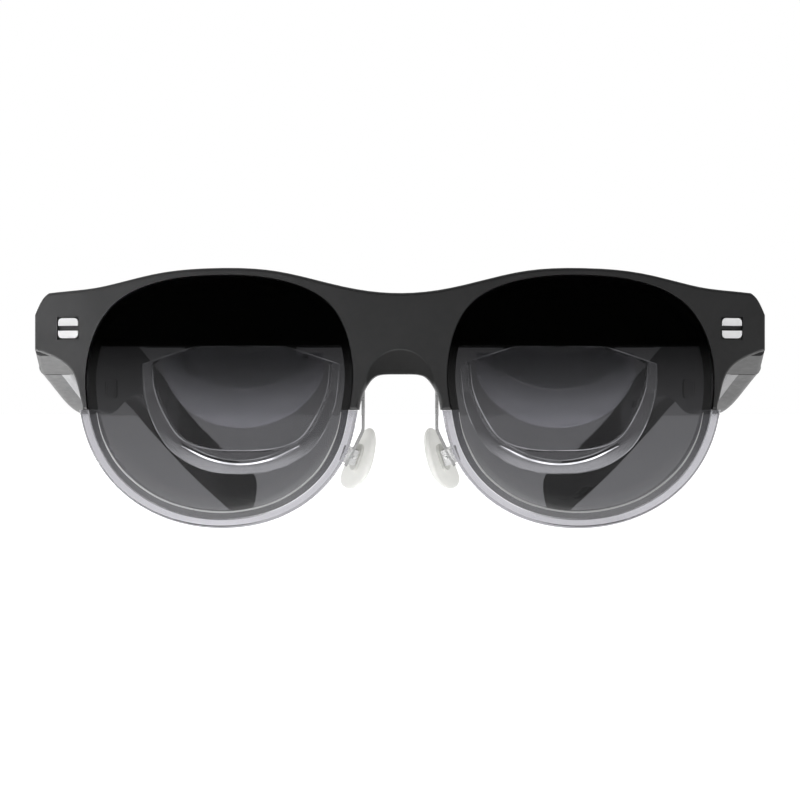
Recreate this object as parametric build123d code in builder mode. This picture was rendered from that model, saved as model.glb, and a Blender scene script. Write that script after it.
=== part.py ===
"""Smart glasses with see-through displays: frame, optics, nose pads and folding temples.

Millimetres, +Z up. The front of the glasses looks along -Y and the temples run back along +Y.
The origin is on the mid-plane, half way along the depth, on the surface that the glasses stand on.
Left and right are the wearer's, and left is +X. Most left pieces are mirrored to make the right.
Profiles are drawn as distances from the middle of the bridge: X, depth behind it, and height
above the lens centreline.
"""

import os
from math import asin, cos, degrees, sin

from build123d import *

# --- driving dimensions -------------------------------------------------------------------------
DEPTH = 150.0  # front of the bridge to the back of the temple tips
FRONT_Y = -DEPTH / 2  # the front of the bridge
EYE_Z = 31.21  # height of the lens centreline above the surface

WRAP_R = 300.0  # the front face is part of a vertical cylinder
DISH_R = 26.0  # radius of the shallow dish in the bridge
DISH_DEPTH = 0.9
SEAM_Z = -1.95  # the black brow ends here and the clear lower rims begin
RIM_W = 1.85  # rim outside the lens edge
FLANGE_W = 1.5  # flange behind the lens edge
BROW_DEPTH = 9.0  # depth of the brow behind the front face
RIM_DEPTH = 4.2  # depth of the clear lower rims
LENS_FRONT = 0.6  # the lens lies this far behind the front face
LENS_BACK = 2.4
END_FRONT_X = 72.9  # half width at the front of the end pieces
END_X = 74.6  # half width at the back of the end pieces
END_BACK = 20.8  # back face of the end pieces
BROW_EDGE = 0.6  # rounding round the front face
END_ROUND = 1.0  # rounding under the outside of the end pieces
END_RAMP = (9.3, 5.3)  # height of the end piece underside, front and back
PUPIL_X = 32.3  # half the distance between the two optical axes

HINGE_X = 67.4  # the temple hinge axes are vertical
HINGE_Y = 23.4
HINGE_BOTTOM = 8.0
HINGE_TOP = 17.2
LEAF_BOTTOM = 10.9  # the temple's knuckle, between the two on the frame
LEAF_TOP = 14.3
BARREL_R = 1.75
PIN_R = 0.7
RUNNING = 0.05  # radial clearance round a pin

TEMPLE_R = 377.0  # plan radius of the outer face of a temple
TEMPLE_CENTRE = (-301.8, 7.3)  # centre of that arc, for the left temple
TEMPLE_T = 7.0  # thickness of a temple
SHELL_T = 4.6  # depth of the outer half of a temple
TEMPLE_FRONT = 21.4
TIP_START = 100.0  # the tip begins here
WALL = 1.5
GAP = 0.05  # joint line between neighbouring housings

SCREW_R = 0.55
SCREW_HEAD_R = 1.0
SCREW_HEAD = 0.45

# The lens edge, starting at the nose and running over the top.
LENS_EDGE = [
    (9.7, 0.6), (10.0, 10.5), (13.8, 18.5), (22.3, 23.0), (35.4, 24.4), (48.5, 22.9),
    (57.1, 18.4), (61.6, 10.2), (62.3, 0.6), (60.2, -8.3), (55.2, -15.7), (46.6, -21.3),
    (35.4, -23.4), (24.4, -21.4), (16.0, -15.7), (11.4, -7.9),
]
BROW_TOP = [(0, 20.9), (12, 22.4), (24.5, 25.3), (36.5, 25.95), (48, 25.0), (60, 22.4), (70.2, 21.4)]
END_SIDE = [(70.2, 21.4), (72.2, 19.2), (73.8, 15.6), (75.2, 10.4)]
NOSE_ARCH = [(8.1, SEAM_Z), (7.5, 0.7), (5.5, 4.1), (0, 5.1)]
END_SWEEP = [(75.2, 10.4), (68.4, 8.0), (65.2, 5.2), (63.5, -0.2), (63.2, SEAM_Z)]

# The temple seen from its side: depth behind the bridge and height.
TEMPLE_TOP = [(TEMPLE_FRONT, 20.8), (40, 20.2), (62, 16.6), (90, 6.5), (110, -3.8), (146, -19.4)]
TEMPLE_BOTTOM = [(TEMPLE_FRONT, 5.2), (36, 0.6), (47, -2.6), (57, -2.9), (68.5, 0.6), (80, -0.2),
                 (92, -5.0), (120, -18.6), (145, -30.9)]
TIP_END = (149.72, -26.5)

# The display optics, as distances from an eye's optical axis.
SCOOP_OUTER = [(0, -14.9), (6.4, -14.3), (11.6, -12.1), (15.8, -8.2), (19.0, -1.2), (20.1, 7.4)]
SCOOP_INNER = [(0, -10.2), (6.8, -9.8), (12.0, -7.8), (15.4, -3.0), (17.5, 2.2), (18.1, 7.4)]
SCOOP_TOP = [(9.2, 10.8), (9.2, 11.5), (0, 11.5)]
SCOOP_FRONT = 10.2  # front of the curved mirror
SCOOP_BACK = 19.0
SCOOP_R = 55.0
SCOOP_T = 1.4
SPLITTER_FOOT = (15.4, -5.5)  # depth and height of its lower edge
SPLITTER_RISE = 2.0  # rise of the splitter for each unit of depth
SPLITTER_T = 0.8
OPTIC_R = 20.0  # curved underside of the display lens
OPTIC_LOW = 2.0
HOUSING = (20.4, 12.9, 23.4, 10.9, 20.3)  # half width, front, back, bottom, top


# --- planes and tools ---------------------------------------------------------------------------
def face_plane(depth):
    """Seen from the front: sketch x is X and sketch y is height."""
    return Plane(origin=(0, FRONT_Y + depth, EYE_Z), x_dir=(1, 0, 0), z_dir=(0, -1, 0))


def level_plane(height):
    """Seen from above: sketch x is X and sketch y is depth."""
    return Plane(origin=(0, FRONT_Y, EYE_Z + height), x_dir=(1, 0, 0), z_dir=(0, 0, 1))


def side_plane(x):
    """Seen along -X: sketch x is depth and sketch y is height."""
    return Plane(origin=(x, FRONT_Y, EYE_Z), x_dir=(0, 1, 0), z_dir=(1, 0, 0))


def place(x, depth, height):
    return Vector(x, FRONT_Y + depth, EYE_Z + height)


def block(x, depth, height):
    """A box from three pairs: X, depth and height."""
    centre = place(sum(x) / 2, sum(depth) / 2, sum(height) / 2)
    return Pos(centre) * Box(x[1] - x[0], depth[1] - depth[0], height[1] - height[0])


def post(x, depth, low, high, radius):
    """A vertical cylinder."""
    return Pos(place(x, depth, (low + high) / 2)) * Cylinder(radius, high - low)


def wrap_band(near, far):
    """The space between two depths behind the wrapped front face."""
    centre = place(0, WRAP_R, 0)
    ring = Pos(centre) * (Cylinder(WRAP_R - near, 120) - Cylinder(WRAP_R - far, 120))
    return ring & block((-90, 90), (-5, 45), (-50, 50))


def temple_band(near, far):
    """The space between two depths inside the outer face of the left temple."""
    centre = place(TEMPLE_CENTRE[0], TEMPLE_CENTRE[1], 0)
    ring = Pos(centre) * (Cylinder(TEMPLE_R - near, 160) - Cylinder(TEMPLE_R - far, 160))
    return ring & block((20, 90), (10, 160), (-50, 50))


def lens_face(grow):
    """The left lens edge as a flat face, grown outwards square to the edge."""
    grown = []
    for i, (x, z) in enumerate(LENS_EDGE):
        before = Vector(*LENS_EDGE[i - 1])
        after = Vector(*LENS_EDGE[(i + 1) % len(LENS_EDGE)])
        outward = (after - before).normalized().rotate(Axis.Z, 90)
        grown.append((x + grow * outward.X, z + grow * outward.Y))
    with BuildSketch(Plane.XY) as shape:
        with BuildLine():
            Spline(*grown, periodic=True)
        make_face()
    return shape.sketch


def lens_prism(grow, near, far):
    """The left lens shape as a solid between two depths behind the wrapped face."""
    with BuildPart() as prism:
        with BuildSketch(face_plane(-5)):
            add(lens_face(grow))
        extrude(amount=-50)
    return prism.part & wrap_band(near, far)


def face_prism(face, near, far):
    """A flat front-view face as a solid between two depths, not wrapped."""
    with BuildPart() as prism:
        with BuildSketch(face_plane(near)):
            add(face)
        extrude(amount=near - far)
    return prism.part


def temple_face(inset, start, end):
    """The temple's side view between two depths as a flat face, thinner by an inset above and below."""
    with BuildSketch(Plane.XY) as shape:
        with BuildLine():
            top = Spline(*[(y, z - inset) for y, z in TEMPLE_TOP], tangents=[(1, 0.02), (1, -0.42)])
            low = Spline(*[(y, z + inset) for y, z in TEMPLE_BOTTOM], tangents=[(1, -0.26), (1, -0.5)])
            Spline(top @ 1, TIP_END, low @ 1, tangents=[(1, -0.42), (-1, 0.5)])
            Line(top @ 0, low @ 0)
        make_face()
        with Locations(((start + end) / 2, 0)):
            Rectangle(end - start, 120, mode=Mode.INTERSECT)
    return shape.sketch


def temple_solid(face, near, far):
    """A side-view face as a solid that follows the curve of the left temple."""
    with BuildPart() as prism:
        with BuildSketch(side_plane(20)):
            add(face)
        extrude(amount=70)
    return prism.part & temple_band(near, far)


def on_temple(depth, height, inset):
    """A place on the left temple at an inset from its outer face, with +X pointing outwards."""
    lean = asin((depth - TEMPLE_CENTRE[1]) / TEMPLE_R)
    reach = TEMPLE_R - inset
    spot = place(TEMPLE_CENTRE[0] + reach * cos(lean), TEMPLE_CENTRE[1] + reach * sin(lean), height)
    return Pos(spot) * Rot(0, 0, degrees(lean))


def slot_face(length, height, depth, level, corner):
    """A rounded rectangle in the temple's side view."""
    with BuildSketch(Plane.XY) as shape:
        with Locations((depth, level)):
            RectangleRounded(length, height, corner)
    return shape.sketch


def screw(length):
    """A small screw that points along -Z with its head above the origin."""
    with BuildPart() as one:
        with BuildSketch(Plane.XY):
            Circle(SCREW_HEAD_R)
        extrude(amount=SCREW_HEAD)
        with BuildSketch(Plane.XY.offset(SCREW_HEAD)):
            RegularPolygon(0.5, 6)
        extrude(amount=-0.3, mode=Mode.SUBTRACT)
        with BuildSketch(Plane.XY):
            Circle(SCREW_R)
        extrude(amount=-length)
    return one.part


def mirrored(part):
    return mirror(part, about=Plane.YZ)


def write(part, name):
    part.label = name
    export_step(part, f"parts/{name}.step")


def write_pair(part, name):
    """Writes the left piece and its mirror image."""
    write(part, f"{name}_left")
    write(mirrored(part), f"{name}_right")


os.makedirs("parts", exist_ok=True)

# --- front cover: brow, bridge and end pieces ---------------------------------------------------
with BuildSketch(Plane.XY) as brow_face:
    with BuildLine():
        Spline(*BROW_TOP, tangents=[(1, 0.0), (1, -0.1)])
        Spline(*END_SIDE, tangents=[(1, -0.5), (0.05, -1)])
        Spline(*END_SWEEP, tangents=[(-1, -0.25), (0, -1)])
        Line((63.2, SEAM_Z), (8.1, SEAM_Z))
        Spline(*NOSE_ARCH, tangents=[(-0.15, 1), (-1, 0)])
        Line((0, 5.1), (0, 20.9))
    make_face()
    mirror(about=Plane.YZ)

with BuildPart() as cover_plan:
    with BuildSketch(level_plane(-40)):
        with Locations((0, WRAP_R)):
            Circle(WRAP_R)
            Circle(WRAP_R - BROW_DEPTH, mode=Mode.SUBTRACT)
        with Locations((70, 16), (-70, 16)):
            Rectangle(10.8, 11)
        with BuildLine():
            Polyline((-END_X, END_BACK), (-END_FRONT_X, 7), (-END_FRONT_X, -1), (END_FRONT_X, -1),
                     (END_FRONT_X, 7), (END_X, END_BACK), close=True)
        make_face(mode=Mode.INTERSECT)
    extrude(amount=80)

with BuildPart() as end_cavity:
    with BuildSketch(face_plane(13.0)):
        with BuildLine():
            Polyline((66.2, 8.9), (71.8, 8.9), (71.8, 17.4), (70.2, 19.6), (66.2, 19.6), close=True)
        make_face()
    extrude(amount=-20)

with BuildPart() as bridge_cavity:
    with BuildSketch(face_plane(2.2)):
        with BuildLine():
            Polyline((-7.0, 7.6), (7.0, 7.6), (9.2, 18.4), (-9.2, 18.4), close=True)
        make_face()
    extrude(amount=-20)

with BuildPart() as end_ramp:
    with BuildSketch(side_plane(60)):
        with BuildLine():
            Polyline((9.4, END_RAMP[0]), (END_BACK, END_RAMP[1]), (40, END_RAMP[1]), (40, -10),
                     (9.4, -10), close=True)
        make_face()
    extrude(amount=20)

end_floor = block((66, 75.9), (10.6, 22), (4, 12))
accent_seat = block((63.95, 68.45), (0, 20), (12.05, 16.6)) & wrap_band(-1, 0.6)

screw_hole = Pos(place(62.5, 14.0, 14.4)) * Rot(90, 0, 0) * Cylinder(SCREW_R + GAP, 4)
cover_tools = [
    end_cavity.part,
    accent_seat,
    lens_prism(-FLANGE_W, -2, 12),
    lens_prism(0.25, -2, 2.75),
    lens_prism(0.0, 4.4, 12),
    screw_hole,
]
cover_tools += [mirrored(tool) for tool in cover_tools]
cover_tools.append(bridge_cavity.part & wrap_band(2.2, 20))
cover_tools.append(Pos(place(0, DISH_DEPTH - DISH_R, 3.2)) * Sphere(DISH_R))



def low_outer_edge(edge):
    """The edges between the underside of an end piece and its outer side."""
    middle = edge.center()
    return abs(middle.X) > END_FRONT_X and middle.Z < EYE_Z + END_RAMP[0] and edge.length > 5


with BuildPart() as front_cover:
    add(face_prism(brow_face.sketch, -5, 45))
    add(end_floor)
    add(mirrored(end_floor))
    add(cover_plan.part, mode=Mode.INTERSECT)
    add(end_ramp.part, mode=Mode.SUBTRACT)
    add(mirrored(end_ramp.part), mode=Mode.SUBTRACT)
    fillet(front_cover.faces().sort_by(SortBy.AREA)[-1].outer_wire().edges(), BROW_EDGE)
    fillet(front_cover.edges().filter_by(low_outer_edge), END_ROUND)
    for tool in cover_tools:
        add(tool, mode=Mode.SUBTRACT)
write(front_cover.part, "front_cover")

# --- accent plates: two bright bars in each end piece -------------------------------------------
accent_skin = wrap_band(-0.05, 0.55)
with BuildPart() as accent_plates:
    with BuildSketch(face_plane(0)):
        with Locations((66.2, 14.32)):
            RectangleRounded(4.1, 4.0, 0.8)
            Rectangle(5, 1.0, mode=Mode.SUBTRACT)
    extrude(amount=-20)
    add(accent_skin, mode=Mode.INTERSECT)
write_pair(accent_plates.part, "accent_plates")

# --- clear lower rims ---------------------------------------------------------------------------
below_seam = block((5, 68), (-5, 40), (-40, SEAM_Z - GAP))
rim_hole = lens_prism(-FLANGE_W, -2, 10)
rim_seat = lens_prism(0.15, -2, 2.5)
rim_body = lens_prism(RIM_W, 0, RIM_DEPTH)
with BuildPart() as lower_rim:
    add(rim_body)
    add(below_seam, mode=Mode.INTERSECT)
    front_edge = lower_rim.faces().sort_by(Axis.Y)[0].outer_wire().edges()
    fillet(front_edge.filter_by(GeomType.BSPLINE), 0.6)
    add(rim_hole, mode=Mode.SUBTRACT)
    add(rim_seat, mode=Mode.SUBTRACT)
write_pair(lower_rim.part, "lower_rim")

# --- lenses -------------------------------------------------------------------------------------
lens_body = lens_prism(0.0, LENS_FRONT, LENS_BACK)
with BuildPart() as lens:
    add(lens_body)
write_pair(lens.part, "lens")

# --- inner frame: the tray behind the brow ------------------------------------------------------
half_width, housing_front, housing_back, housing_low, housing_high = HOUSING
with BuildSketch(Plane.XY) as tray_face:
    with BuildLine():
        Spline(*[(x, z - 0.7) for x, z in BROW_TOP[:-1]], (64.2, 21.0), tangents=[(1, 0), (1, -0.1)])
        Polyline((64.2, 21.0), (64.2, 10.8), (9.6, 10.8), (8.6, 7.0), (0, 7.0), (0, 20.2))
    make_face()
    mirror(about=Plane.YZ)

tray_window = block((PUPIL_X - half_width - GAP, PUPIL_X + half_width + GAP), (5, 30),
                    (8, housing_high + GAP))
tray_lip = block((5, 70), (-5, 40), (10.8, 12.2))
tray_posts = block((5, PUPIL_X - half_width - 0.3), (-5, 40), (10.8, 12.2))
tray_posts += block((PUPIL_X + half_width + 0.3, 70), (-5, 40), (10.8, 12.2))
lip = (lens_prism(-FLANGE_W - 0.1, 2.5, 7.5) & tray_lip) + (lens_prism(-0.1, 4.5, 9.6) & tray_posts)
bridge_screws = [(-5.4, 9.6), (5.4, 9.6)]
side_screws = [(-62.5, 14.4), (62.5, 14.4)]
tray_holes = [
    Pos(place(x, 14, z)) * Rot(90, 0, 0) * Cylinder(SCREW_R + GAP, 18)
    for x, z in bridge_screws + side_screws
]
sensor_seat = block((-2.6, 2.6), (9.6, 12), (14.4, 17.6))
tray_depth = wrap_band(BROW_DEPTH + 0.03, BROW_DEPTH + 1.6)
with BuildPart() as inner_frame:
    add(face_prism(tray_face.sketch, 5, 30))
    add(tray_depth, mode=Mode.INTERSECT)
    add(tray_window, mode=Mode.SUBTRACT)
    add(mirrored(tray_window), mode=Mode.SUBTRACT)
    add(lip)
    add(mirrored(lip))
    add(sensor_seat, mode=Mode.SUBTRACT)
    for hole in tray_holes:
        add(hole, mode=Mode.SUBTRACT)
write(inner_frame.part, "inner_frame")

# --- optics housings: a box above each eye with a rib along its top --------------------------------
box_outer = block((PUPIL_X - half_width, PUPIL_X + half_width), (housing_front, housing_back),
                  (housing_low, housing_high))
box_inner = block((PUPIL_X - half_width + 1.3, PUPIL_X + half_width - 1.3),
                  (housing_front + 1.3, housing_back - 1.3), (housing_low + 1.2, housing_high - 1.3))
box_mouth = block((PUPIL_X - 12.9, PUPIL_X + 12.9), (14.3, 19.0), (housing_low - 1, housing_low + 3))
box_rib = block((PUPIL_X - half_width + 1, PUPIL_X + half_width - 1), (16.6, 22.2),
                (housing_high - 0.4, housing_high + 0.9))
box_clips = [
    block((PUPIL_X + x - 1.1, PUPIL_X + x + 1.1), (housing_front, 13.8), (10.1, housing_low + 0.4))
    for x in (-10.2, 10.2)
]
with BuildPart() as optics_housing:
    add(box_outer)
    fillet(optics_housing.edges().group_by(Axis.Y)[-1], 0.9)
    add(box_inner, mode=Mode.SUBTRACT)
    add(box_mouth, mode=Mode.SUBTRACT)
    add(box_rib)
    for clip in box_clips:
        add(clip)
write_pair(optics_housing.part, "optics_housing")

# --- microdisplays --------------------------------------------------------------------------------
display_panel = block((PUPIL_X - 7, PUPIL_X + 7), (14.5, 21.0), (14.2, 15.4))
display_board = block((PUPIL_X - 9, PUPIL_X + 9), (14.4, 21.8), (15.4, 16.2))
with BuildPart() as microdisplay:
    add(display_panel)
    add(display_board)
write_pair(microdisplay.part, "microdisplay")

# --- display lenses: the curved block of glass under each microdisplay ----------------------------
optic_bar = block((PUPIL_X - 12.6, PUPIL_X + 12.6), (14.6, 18.4), (0, 13.6))
optic_ball = Pos(place(PUPIL_X, 16.5, OPTIC_LOW + OPTIC_R)) * Sphere(OPTIC_R)
with BuildPart() as display_lens:
    add(optic_bar)
    add(optic_ball, mode=Mode.INTERSECT)
write_pair(display_lens.part, "display_lens")

# --- beam splitters: a tilted half mirror behind each display lens ---------------------------------
splitter_plane = Plane(origin=place(PUPIL_X, *SPLITTER_FOOT), x_dir=(1, 0, 0), z_dir=(0, -SPLITTER_RISE, 1))
slope = (1 + SPLITTER_RISE**2) ** 0.5 / SPLITTER_RISE  # distance along the plate for each unit of height
with BuildPart() as beam_splitter:
    with BuildSketch(splitter_plane):
        with BuildLine():
            ThreePointArc((-16.3, 10.6 * slope), (0, 0), (16.3, 10.6 * slope))
            Polyline((16.3, 10.6 * slope), (16.3, 15.2 * slope), (-16.3, 15.2 * slope),
                     (-16.3, 10.6 * slope))
        make_face()
    extrude(amount=SPLITTER_T / 2, both=True)
write_pair(beam_splitter.part, "beam_splitter")

# --- combiners: the clear scoop with a curved mirror in front of each eye ---------------------------
def scoop_face(side_points, top_points):
    """A symmetric cup shape round an optical axis."""
    with BuildSketch(Plane.XY) as shape:
        with BuildLine():
            Spline(*side_points, tangents=[(1, 0), (0, 1)])
            Polyline(side_points[-1], *top_points, side_points[0])
        make_face()
        mirror(about=Plane.YZ)
    return Pos(PUPIL_X, 0, 0) * shape.sketch


scoop_centre = place(PUPIL_X, SCOOP_FRONT + SCOOP_R, 0)
scoop_ball = Pos(scoop_centre) * Sphere(SCOOP_R)
scoop_hollow = face_prism(scoop_face(SCOOP_INNER, [(9.9, 12), (0, 12)]), 5, SCOOP_BACK + 1)
scoop_hollow &= Pos(scoop_centre) * Sphere(SCOOP_R - SCOOP_T)
above_eye = block((5, 60), (0, 40), (8.4, 20)) & block((5, 60), (12.7, 40), (0, 30))
with BuildPart() as scoop_slot:
    with BuildSketch(face_plane(5)):
        with BuildLine():
            ThreePointArc((PUPIL_X - 11.8, -8.5), (PUPIL_X, -12.3), (PUPIL_X + 11.8, -8.5))
            Line((PUPIL_X + 11.8, -8.5), (PUPIL_X + 12.2, -9.3))
            ThreePointArc((PUPIL_X + 12.2, -9.3), (PUPIL_X, -13.1), (PUPIL_X - 12.2, -9.3))
            Line((PUPIL_X - 12.2, -9.3), (PUPIL_X - 11.8, -8.5))
        make_face()
    extrude(amount=-8.5)
with BuildPart() as combiner:
    add(face_prism(scoop_face(SCOOP_OUTER, SCOOP_TOP), 5, SCOOP_BACK))
    add(scoop_ball, mode=Mode.INTERSECT)
    add(scoop_hollow, mode=Mode.SUBTRACT)
    add(above_eye, mode=Mode.SUBTRACT)
    add(scoop_slot.part, mode=Mode.SUBTRACT)
write_pair(combiner.part, "combiner")

# --- main board and wear sensor in the bridge -------------------------------------------------------
board = block((-6.4, 6.4), (4.4, 5.4), (9.0, 17.6))
chips = [
    block((-5.4, -0.6), (5.4, 6.6), (10.4, 15.0)),
    block((1.0, 4.6), (5.4, 6.4), (12.2, 15.8)),
    block((0.6, 5.4), (5.4, 7.6), (9.4, 11.2)),
]
with BuildPart() as main_board:
    add(board)
    for chip in chips:
        add(chip)
write(main_board.part, "main_board")

with BuildPart() as wear_sensor:
    with BuildSketch(face_plane(9.65)):
        with Locations((0, 16)):
            RectangleRounded(5.1, 3.1, 1.2)
    extrude(amount=-1.15)
    with BuildSketch(face_plane(10.4)):
        with Locations((-1.2, 16), (1.2, 16)):
            Circle(0.6)
    extrude(amount=-1, mode=Mode.SUBTRACT)
write(wear_sensor.part, "wear_sensor")

# --- nose bracket, pad arms, pads --------------------------------------------------------------------
bracket_holes = [
    Pos(place(x, 11, z)) * Rot(90, 0, 0) * Cylinder(SCREW_R + GAP, 6) for x, z in bridge_screws
]
with BuildPart() as nose_bracket:
    with BuildSketch(face_plane(10.75)):
        with Locations((0, 9.4)):
            RectangleRounded(17.4, 5.2, 1.2)
    extrude(amount=-0.9)
    for hole in bracket_holes:
        add(hole, mode=Mode.SUBTRACT)
write(nose_bracket.part, "nose_bracket")

PAD_CENTRE = place(8.5, 12.0, -11.6)
PAD_LONG = Vector(4.1, 1.5, -11.5).normalized()
PAD_FACING = Vector(-0.88, 0.47, 0)
PAD_NORMAL = (PAD_FACING - PAD_LONG * PAD_FACING.dot(PAD_LONG)).normalized()
PAD_PLANE = Plane(origin=PAD_CENTRE, x_dir=PAD_LONG, z_dir=PAD_NORMAL)
PIVOT_DEPTH = 1.7  # the pad pivot lies this far behind the pad
PAD_PIN_R = 0.32

pad_box = PAD_PLANE * Pos(0, 0, -1.95) * Box(3.2, 2.8, 2.1)
pad_box_room = PAD_PLANE * Pos(0, 0, -1.7) * Box(2.2, 1.9, 2.1)
pad_box_hole = PAD_PLANE * Pos(0, 0, -PIVOT_DEPTH) * Rot(90, 0, 0) * Cylinder(PAD_PIN_R, 8)
arm_foot = block((6.7, 8.7), (11.7, 12.5), (3.9, 9.4))
arm_link = block((7.1, 8.1), (10.6, 12.0), (3.9, 5.0))
with BuildPart() as pad_arm:
    with BuildSketch(face_plane(9.4)):
        with BuildLine():
            FilletPolyline((7.4, 5.0), (7.4, -6.0), (9.8, -11.0), (11.0, -13.2), radius=2.4)
        trace(line_width=0.64)
    extrude(amount=-2.0)
    add(arm_foot)
    add(arm_link)
    add(pad_box)
    add(pad_box_room, mode=Mode.SUBTRACT)
    add(pad_box_hole, mode=Mode.SUBTRACT)
write_pair(pad_arm.part, "pad_arm")

pin_body = PAD_PLANE * Pos(0, 0, -PIVOT_DEPTH) * Rot(90, 0, 0) * Cylinder(PAD_PIN_R - RUNNING / 2, 3.2)
with BuildPart() as pad_screws:
    add(pin_body)
    add(mirrored(pin_body))
write(pad_screws.part, "pad_screws")

core_lug = PAD_PLANE * Pos(0, 0, -1.35) * Box(1.4, 1.6, 2.1)
core_hole = PAD_PLANE * Pos(0, 0, -PIVOT_DEPTH) * Rot(90, 0, 0) * Cylinder(PAD_PIN_R + RUNNING, 8)
with BuildPart() as pad_core:
    with BuildSketch(PAD_PLANE):
        SlotOverall(5.6, 2.8)
    extrude(amount=-0.6)
    add(core_lug)
    add(core_hole, mode=Mode.SUBTRACT)
write_pair(pad_core.part, "pad_core")

with BuildPart() as nose_pad:
    with BuildSketch(PAD_PLANE.offset(0.02)):
        Ellipse(6.7, 3.6)
    extrude(amount=2.5)
    fillet(nose_pad.edges().sort_by(Axis(PAD_CENTRE, PAD_NORMAL))[-1], 1.5)
    fillet(nose_pad.edges().sort_by(Axis(PAD_CENTRE, PAD_NORMAL))[0], 0.6)
write_pair(nose_pad.part, "nose_pad")

# --- temple hinges: a bracket in each end piece, a leaf in each temple and a pin ---------------------
frame_knuckles = [(HINGE_BOTTOM, LEAF_BOTTOM - RUNNING), (LEAF_TOP + RUNNING, HINGE_TOP)]
bracket_plate = block((66.3, 71.7), (18.4, END_BACK), (9.0, 19.2))
bracket_corner = block((70.1, 72), (18, 21), (17.5, 20))
bracket_arms = [block((66.3, 68.7), (19.5, HINGE_Y), pair) for pair in frame_knuckles]
bracket_barrels = [post(HINGE_X, HINGE_Y, low, high, BARREL_R) for low, high in frame_knuckles]
below_bracket = block((60, 75), (15, END_BACK + 0.1), (5, 9.0))
pin_room = post(HINGE_X, HINGE_Y, 0, 25, PIN_R)
with BuildPart() as hinge_bracket:
    add(bracket_plate)
    add(bracket_corner, mode=Mode.SUBTRACT)
    for arm in bracket_arms:
        add(arm)
    add(below_bracket, mode=Mode.SUBTRACT)
    for barrel in bracket_barrels:
        add(barrel)
    add(pin_room, mode=Mode.SUBTRACT)
write_pair(hinge_bracket.part, "hinge_bracket")

leaf_barrel = post(HINGE_X, HINGE_Y, LEAF_BOTTOM, LEAF_TOP, BARREL_R)
leaf_arm = block((HINGE_X, 72.4), (HINGE_Y, 25.2), (LEAF_BOTTOM, LEAF_TOP))
leaf_plate = block((71.2, 72.4), (HINGE_Y, 33.5), (8.6, 16.4))
leaf_bore = post(HINGE_X, HINGE_Y, 0, 25, PIN_R + RUNNING)
leaf_holes = [Pos(place(71, y, 12.5)) * Rot(0, 90, 0) * Cylinder(SCREW_R + GAP, 6) for y in (27.2, 31.2)]
with BuildPart() as hinge_leaf:
    add(leaf_barrel)
    add(leaf_arm)
    add(leaf_plate)
    add(leaf_bore, mode=Mode.SUBTRACT)
    for hole in leaf_holes:
        add(hole, mode=Mode.SUBTRACT)
write_pair(hinge_leaf.part, "hinge_leaf")

pin_shank = post(HINGE_X, HINGE_Y, HINGE_BOTTOM, HINGE_TOP, PIN_R)
pin_head = post(HINGE_X, HINGE_Y, HINGE_TOP, HINGE_TOP + 0.4, 1.2)
with BuildPart() as hinge_pin:
    add(pin_shank)
    add(pin_head)
write_pair(hinge_pin.part, "hinge_pin")

# --- frame screws: two hold the nose bracket and two hold the inner frame ----------------------------
tail_screw = Rot(-90, 0, 0) * screw(2.4)
with BuildPart() as frame_screws:
    for x, z in bridge_screws:
        add(Pos(place(x, 11.65, z)) * tail_screw)
    for x, z in side_screws:
        add(Pos(place(x, 17.6, z)) * tail_screw)
write(frame_screws.part, "frame_screws")

# --- temples: an outer shell, an inner cover and a tip ------------------------------------------
def long_edges(part, outer):
    """The long edges along the outer or the inner face of the left temple."""
    longest = part.edges().filter_by(lambda edge: edge.length > 40)
    middle = Vector(TEMPLE_CENTRE[0], FRONT_Y + TEMPLE_CENTRE[1])
    ranked = longest.sort_by(lambda edge: (Vector(edge.center().X, edge.center().Y) - middle).length)
    return ranked[-2:] if outer else ranked[:2]


def key_face(raise_by, floor, start, end):
    """The side view of a key in the top edge of a temple, down to a level floor."""
    with BuildSketch(Plane.XY) as shape:
        add(temple_face(-raise_by, start, end))
        with Locations((0, floor)):
            Rectangle(300, 80, align=(Align.CENTER, Align.MIN), mode=Mode.INTERSECT)
    return shape.sketch


shell_face = temple_face(0, TEMPLE_FRONT, TIP_START)
shell_body = temple_solid(shell_face, 0, SHELL_T)
cavity_face = temple_face(WALL, TEMPLE_FRONT + WALL, TIP_START - WALL)
shell_cavity = temple_solid(cavity_face, WALL, SHELL_T + 1)
hinge_room = block((60, 71.1), (20, 26.6), (7.4, 18.0))
barrel_room = post(HINGE_X, HINGE_Y, 7.4, 18.0, BARREL_R + 1.4)
with BuildPart() as temple_outer:
    add(shell_body)
    fillet(long_edges(temple_outer, True), 1.6)
    add(shell_cavity, mode=Mode.SUBTRACT)
    add(barrel_room, mode=Mode.SUBTRACT)
write(temple_outer.part, "temple_outer_left")

# The wearer's right temple has a brightness rocker and a mode button in its top edge.
ROCKER = (44.0, 54.0)
BUTTON = (34.0, 39.0)
KEY_FLOOR = 17.2
rocker_seat = mirrored(temple_solid(key_face(3, KEY_FLOOR - 0.9, *ROCKER), 1.1, 3.9))
button_seat = mirrored(temple_solid(key_face(3, KEY_FLOOR - 0.9, *BUTTON), 1.1, 3.9))
with BuildPart() as temple_outer_right:
    add(mirrored(temple_outer.part))
    add(rocker_seat, mode=Mode.SUBTRACT)
    add(button_seat, mode=Mode.SUBTRACT)
write(temple_outer_right.part, "temple_outer_right")

rocker_body = mirrored(temple_solid(key_face(0.5, KEY_FLOOR, ROCKER[0] + 0.25, ROCKER[1] - 0.25), 1.3, 3.7))
rocker_dip = Rot(0, 90, 0) * Cylinder(14, 20)
rocker_dip = Pos(place(-70, (ROCKER[0] + ROCKER[1]) / 2, 19.2 + 14)) * rocker_dip
with BuildPart() as brightness_rocker:
    add(rocker_body)
    add(rocker_dip, mode=Mode.SUBTRACT)
write(brightness_rocker.part, "brightness_rocker")

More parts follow.
